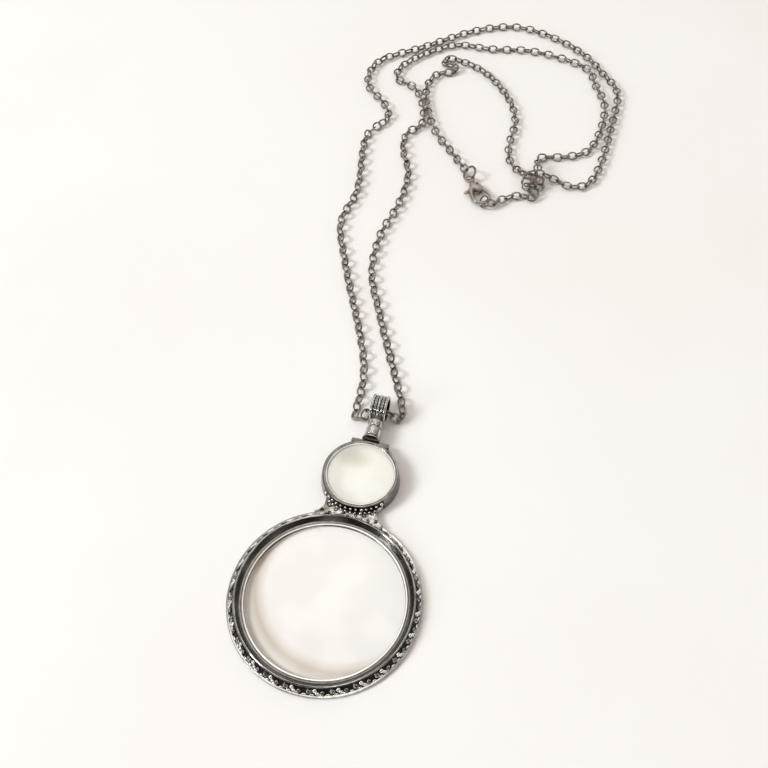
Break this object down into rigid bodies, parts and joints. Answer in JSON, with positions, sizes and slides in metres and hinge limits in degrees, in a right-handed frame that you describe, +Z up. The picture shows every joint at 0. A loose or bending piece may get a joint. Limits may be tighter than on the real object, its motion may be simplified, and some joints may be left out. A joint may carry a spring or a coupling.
{
  "type": "magnifier pendant necklace",
  "caption": "Long cable chain with a pendant of a large and a small magnifying lens in one cast, ornamented frame, hung from a ribbed bail and closed by a lobster clasp.",
  "frame": {"origin": "middle of the necklace as it lies, at the level of the surface it rests on", "axes": "+X to the right across the pendant, +Y from the large lens towards the chain and clasp, +Z up, out of the curved faces of the lenses"},
  "size_m": [0.0821, 0.2395, 0.007],
  "materials": {
    "antique_metal": "polished, antiqued dark in the recesses",
    "bright_metal": "polished",
    "chain_metal": "polished gunmetal",
    "satin_metal": "satin",
    "clear_glass": "clear, polished",
    "milky_glass": "milky, polished"
  },
  "bodies": {
    "necklace": {"lens_frame": "antique_metal", "large_lens": "clear_glass", "large_keeper": "bright_metal", "small_lens": "milky_glass", "small_keeper": "bright_metal", "post": "bright_metal", "bail": "antique_metal", "chain": "chain_metal", "jump_ring": "chain_metal", "end_ring": "chain_metal", "clasp_body": "satin_metal", "clasp_pin": "bright_metal"},
    "lever": {"clasp_lever": "satin_metal"}
  },
  "joints": [
    {"name": "lever_hinge", "type": "hinge", "parent": "necklace", "child": "lever", "pos_m": [0.00362, 0.03977, 0.0014], "axis": [0, 0, -1], "range_deg": [0, 20], "stiffness_Nm_per_rad": 0.004, "springref_deg": -22.92}
  ]
}
